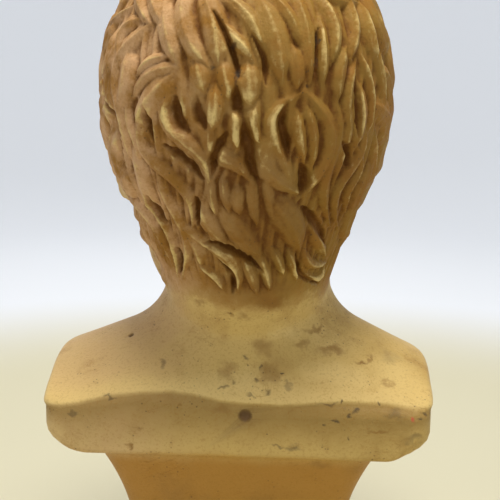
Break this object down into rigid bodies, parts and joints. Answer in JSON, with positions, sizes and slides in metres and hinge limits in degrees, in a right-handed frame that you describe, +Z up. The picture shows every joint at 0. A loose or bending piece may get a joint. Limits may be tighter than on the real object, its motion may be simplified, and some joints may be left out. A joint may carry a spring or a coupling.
{
  "type": "portrait bust",
  "caption": "Desk-size cast plaster bust of a bearded classical philosopher with short wavy locks, shoulders cut flat above a waisted rectangular socle.",
  "frame": {"origin": "middle of the socle's flat underside", "axes": "+Z up the bust, -Y the way the chest faces, +X the figure's left"},
  "size_m": [0.1128, 0.1046, 0.2008],
  "materials": {
    "plaster": "cast plaster with a satin ochre-brown patina, darker in the recesses"
  },
  "bodies": {
    "root": {"bust": "plaster"}
  },
  "joints": []
}
